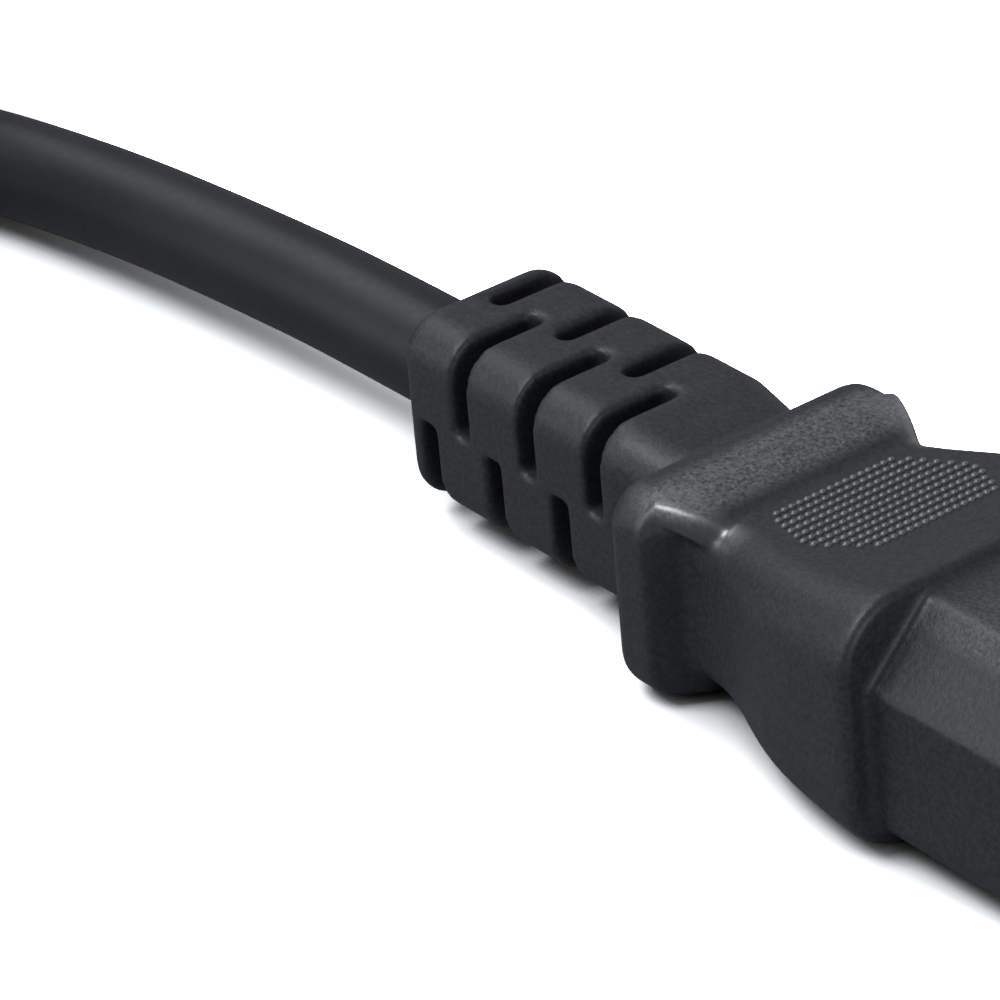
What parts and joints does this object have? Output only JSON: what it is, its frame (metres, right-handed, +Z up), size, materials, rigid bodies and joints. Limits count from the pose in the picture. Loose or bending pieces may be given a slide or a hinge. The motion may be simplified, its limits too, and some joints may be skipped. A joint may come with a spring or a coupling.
{
  "type": "computer power cord",
  "caption": "Computer power cord with a moulded three-pole appliance connector, slotted strain relief, round cord tied in a hank and a grounded wall plug.",
  "frame": {"origin": "bottom centre of the appliance connector, on the surface that it lies on", "axes": "+X along the connector, out of its open nose; +Z up, towards its earth side"},
  "size_m": [0.3565, 0.0736, 0.0328],
  "materials": {
    "moulding": "fine matte grain",
    "carrier": "smooth hard plastic",
    "contact": "bare sheet",
    "blade": "nickel plated",
    "copper": "bare stranded",
    "jacket": "smooth satin",
    "tie": "matte",
    "wire_black": "smooth",
    "wire_white": "smooth",
    "wire_green": "smooth"
  },
  "bodies": {
    "root": {"connector_overmould": "moulding", "connector_insert": "carrier", "contact_line": "contact", "contact_neutral": "contact", "contact_earth": "contact", "line_insulation_at_connector": "wire_black", "neutral_insulation_at_connector": "wire_white", "earth_insulation_at_connector": "wire_green", "line_copper_at_connector": "copper", "neutral_copper_at_connector": "copper", "earth_copper_at_connector": "copper", "cord_run": "jacket", "cord_hank": "jacket", "cord_tail": "jacket", "cord_tie_near": "tie", "cord_tie_far": "tie", "plug_overmould": "moulding", "plug_bridge": "carrier", "blade_line": "blade", "blade_neutral": "blade", "ground_pin": "blade", "line_insulation_at_plug": "wire_black", "neutral_insulation_at_plug": "wire_white", "earth_insulation_at_plug": "wire_green", "line_copper_at_plug": "copper", "neutral_copper_at_plug": "copper", "earth_copper_at_plug": "copper"}
  },
  "joints": []
}
